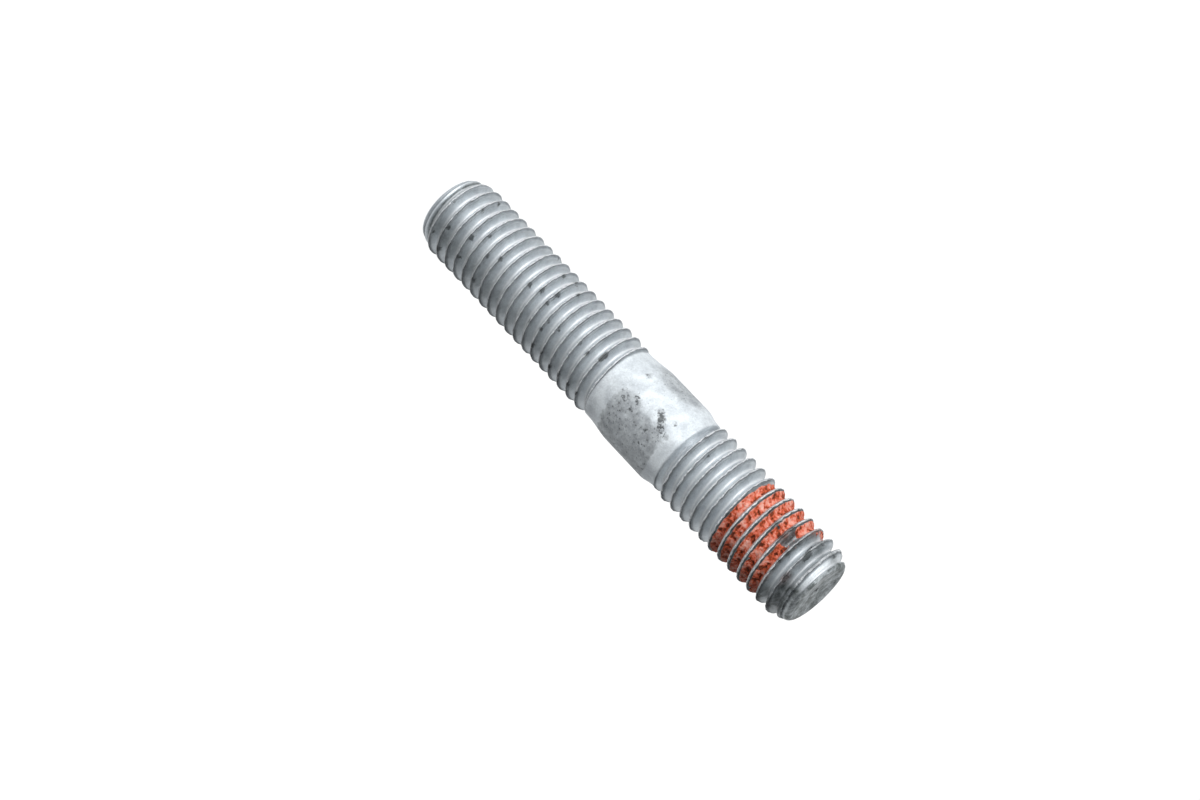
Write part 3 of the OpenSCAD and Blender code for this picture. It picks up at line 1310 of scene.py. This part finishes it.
def shank_marks() -> tuple[Mark, ...]:
    """Return the dark blotches and the rubbed sides of the shank."""
    blotches = (
        (36.5, -104, 0.4), (37.0, -99, 0.4), (37.5, -94, 0.45), (37.9, -89, 0.35), (38.6, -106, 0.35),
        (32.3, -125, 0.4), (34.0, -90, 0.4), (33.4, -94, 0.4), (32.6, -90, 0.35), (36.8, -72, 0.4),
        (37.1, -54, 0.4), (34.9, -78, 0.35), (39.0, -88, 0.3), (38.8, -64, 0.5), (38.4, -54, 0.5),
        (33.2, -82, 0.4), (32.2, -68, 0.4), (35.4, -56, 0.4), (33.4, -48, 0.4), (36.2, -84, 0.3),
    )
    worn = (
        (32.6, -62, 2.2, 1.0), (34.5, -50, 2.6, 1.0), (36.8, -48, 2.8, 1.0), (38.4, -58, 1.6, 0.9),
        (32.8, -80, 1.2, 1.0), (34.4, -66, 1.2, 0.9), (36.4, -66, 1.3, 0.9), (38.2, -74, 1.0, 0.9),
        (33.2, -158, 2.2, 0.8), (35.0, -156, 2.2, 0.8), (36.8, -158, 2.2, 0.8), (34.0, 20, 3.0, 1.0),
        (37.5, 30, 2.6, 0.9), (35.5, 80, 2.6, 1.0), (33.4, 125, 2.2, 0.9), (37.6, 150, 2.6, 0.9),
        (34.6, -178, 1.6, 0.8), (38.0, -20, 2.2, 0.9), (33.0, -20, 2.2, 1.0),
    )
    soot = (
        (36.6, -103, 0.45), (37.1, -98, 0.4), (37.6, -93, 0.45), (37.9, -88, 0.35), (38.6, -105, 0.3),
        (32.3, -124, 0.3), (34.0, -91, 0.35), (33.4, -94, 0.35), (36.8, -72, 0.3), (37.1, -56, 0.35),
        (38.6, -88, 0.3), (32.7, -83, 0.4), (33.9, -78, 0.3),
    )
    return (
        *(Mark(*row, 1.3, Trace.RUB) for row in blotches),
        *(Mark(*row, Trace.RUB) for row in worn),
        *(Mark(*row, 0.44) for row in soot),
    )


def nut_end_marks() -> tuple[Mark, ...]:
    """Return the spots on the nut end, mostly beside its seams, a grey film of painted shade and grime
    down its side away from the key lamp, and painted shade in its first groove.
    """
    spots = (
        (27.5, -105, 0.33), (27.5, -100, 0.33), (27.5, -95, 0.33), (18.7, -111, 0.45), (18.6, -95, 0.35),
        (17.1, -101, 0.4), (15.6, -95, 0.4), (21.8, -82, 0.25), (20.3, -80, 0.25), (24.6, -90, 0.22),
        (26.0, -88, 0.35), (19.8, -134, 0.3), (18.2, -148, 0.4), (16.9, -140, 0.3), (21.6, -41, 0.35),
        (20.2, -39, 0.35), (24.7, -35, 0.35), (26.2, -36, 0.3), (27.6, -37, 0.35), (23.2, -33, 0.4),
        (20.1, -66, 0.3), (18.4, -62, 0.25), (8.2, -101, 0.35), (11.0, -90, 0.35), (6.8, -81, 0.45),
        (9.7, -80, 0.3), (5.1, -118, 0.3), (6.1, -47, 0.45), (7.0, -49, 0.35), (4.1, -31, 0.45),
        (10.0, -40, 0.35), (2.6, -47, 0.4), (3.9, -68, 0.4), (2.3, -98, 0.3), (5.1, -148, 0.35),
        (7.2, -73, 0.3), (12.4, 30, 0.4), (17.0, 75, 0.35), (22.5, 110, 0.4), (8.5, 140, 0.3),
        (26.5, 160, 0.35), (14.0, -170, 0.3),
    )
    # A grey film down the side away from the key lamp: painted shade, with some grime
    films = (
        (5.0, -48, 2.2, 0.45), (9.0, -42, 2.4, 0.4), (3.0, -62, 1.4, 0.4), (12.4, -36, 2.5, 0.4),
        (17.0, -34, 2.6, 0.35), (22.0, -36, 2.6, 0.35), (26.5, -38, 2.0, 0.3),
    )
    # Painted shade: a chain of marks down in the groove, which rises with it by a pitch in a turn
    groove_z, groove_azimuth, groove_r = 1.05, -89, 4.15
    chain = (
        (groove_z + 1.5 * (azimuth - groove_azimuth) / 360, azimuth, 0.17, 1.0, Trace.GRIME_AND_SHADE, groove_r)
        for azimuth in range(-170, 10, 3)
    )
    return (
        *(Mark(*row) for row in spots),
        *(Mark(*row, Trace.GRIME_AND_SHADE) for row in films),
        *(Mark(*row) for row in chain),
    )


def tap_end_marks() -> tuple[Mark, ...]:
    """Return the spots, the grime, the traces of adhesive and the dimple's painted shade on the tap end.
    """
    spots = (
        (58.3, -116, 0.55), (58.7, -108, 0.45), (58.3, -76, 0.4, 0.8), (58.8, -70, 0.35, 0.8),
        (58.6, -144, 0.5), (60.1, -148, 0.5), (43.5, -109, 0.3), (56.8, -97, 0.35), (56.8, -84, 0.3),
        (60.2, -47, 0.4, 0.55), (59.4, -38, 0.4, 0.5), (57.6, -34, 0.4, 0.5), (57.8, 60, 0.5),
        (59.2, 140, 0.5), (54.1, -108, 0.45, 0.6), (52.9, -104, 0.35, 0.5), (48.6, -104, 0.3, 0.6),
    )
    # Down in the grooves, where the crust is gone
    bare = (
        (55.3, -124, 0.4, 0.4), (55.8, -117, 0.4, 0.45), (55.2, -111, 0.4, 0.4), (55.8, -104, 0.4, 0.4),
        (54.0, -114, 0.35, 0.5), (53.8, -107, 0.35, 0.4),
    )
    # Painted shade in the face's dimple, as a dark spot
    dimple = (60.4, 0, 0.5, 0.95)
    films = (
        (60.0, -42, 1.7, 0.7), (58.7, -32, 1.6, 0.6), (57.4, -22, 1.4, 0.6), (59.6, 12, 2.2, 0.9),
        (58.8, -98, 1.2, 0.45), (58.4, -124, 1.2, 0.35), (60.3, -66, 1.0, 1.2), (59.2, -62, 0.9, 1.0),
        (60.3, -150, 0.9, 1.0), (59.3, -112, 0.6, 0.6), (58.4, -140, 1.2, 0.5), (57.0, -150, 1.2, 0.4),
        (58.6, -78, 0.6, 0.8), (55.6, -120, 0.9, 1.4), (55.4, -108, 0.9, 1.4), (54.1, -112, 0.8, 1.1),
        (52.8, -106, 0.6, 0.6), (59.4, 60, 2.2, 1.0), (58.8, 120, 2.0, 0.9), (60.0, 165, 1.6, 1.0),
    )
    traces = (
        (56.3, -145, 0.7, 0.9), (57.7, -72, 0.35, 1.0), (56.0, -160, 0.9, 0.8), (58.5, -74, 0.6, 0.7),
        (55.4, -110, 0.9, 0.6), (56.6, -60, 0.5, 0.7), (59.0, -100, 0.35, 0.5),
    )
    return (
        *(Mark(*row) for row in spots),
        *(Mark(*row, radius=4.3) for row in bare),
        Mark(*dimple, radius=0.0),
        *(Mark(*row, Trace.GRIME_AND_SHADE) for row in films),
        *(Mark(*row, Trace.STAIN) for row in traces),
    )


def main() -> None:
    """Build every piece and the studio."""
    logging.basicConfig(level=logging.INFO, format="%(name)s: %(message)s")
    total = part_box("stud")[1].z / MM
    nut_len, tap_len, pin_len = (
        mount(name)["dims"]["length_mm"] for name in ("nut_thread", "tap_thread", "shank")
    )
    pin = mount("shank")
    nut_end = ThreadedEnd(
        length=nut_len, start_angle=152.0, edge_r=0.8, flipped=False, stud_length=total,
        jagged=0.6, seam_share=0.8, form_left=0.35,
    )
    patch_setback, patch_len = 4.0, 7.6
    tap_end = ThreadedEnd(
        length=tap_len, start_angle=180.0, edge_r=0.7, flipped=True, stud_length=total,
        lead_angle=27.0, dimple=(0.55, 0.2), dish=0.35, rim_darkening=0.95,
        coated=(patch_setback, patch_setback + patch_len),
    )
    shank = Shank(
        low=nut_len, high=total - tap_len, radius=pin["dims"]["r_mm"],
        start=pin["pos_m"][2] / MM - pin_len / 2, length=pin_len,
    )
    marks = shank_marks() + nut_end_marks() + tap_end_marks()
    stud = Stud(nut_end, shank, tap_end, marks).build(ZincFlakeCoat().material())
    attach(stud, "root")
    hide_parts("stud")
    log.info("built %s", stud.name)

    bare = (Mark(55.6, -120, 1.0), Mark(55.7, -108, 0.9), Mark(54.1, -112, 0.55, 0.75))
    patch = ThreadLockPatch(tap_end, patch_setback, patch_len, bare).build(DryAdhesive().material())
    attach(patch, "root")
    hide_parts("thread_lock_patch")
    log.info("built %s", patch.name)

    StudioCamera().build()
    Studio(
        lamps=(
            StudioLamp("key_soft_box", (-0.616, -0.775, 0.12), 0.8, (0.5, 2.0), 1.36),
            StudioLamp("top_soft_box", (-0.253, 0.247, 0.94), 0.8, (0.4, 0.4), 0.5),
        )
    ).build(aim=Vector((0, 0, total / 2 * MM)))


if __name__ == "__main__":
    main()
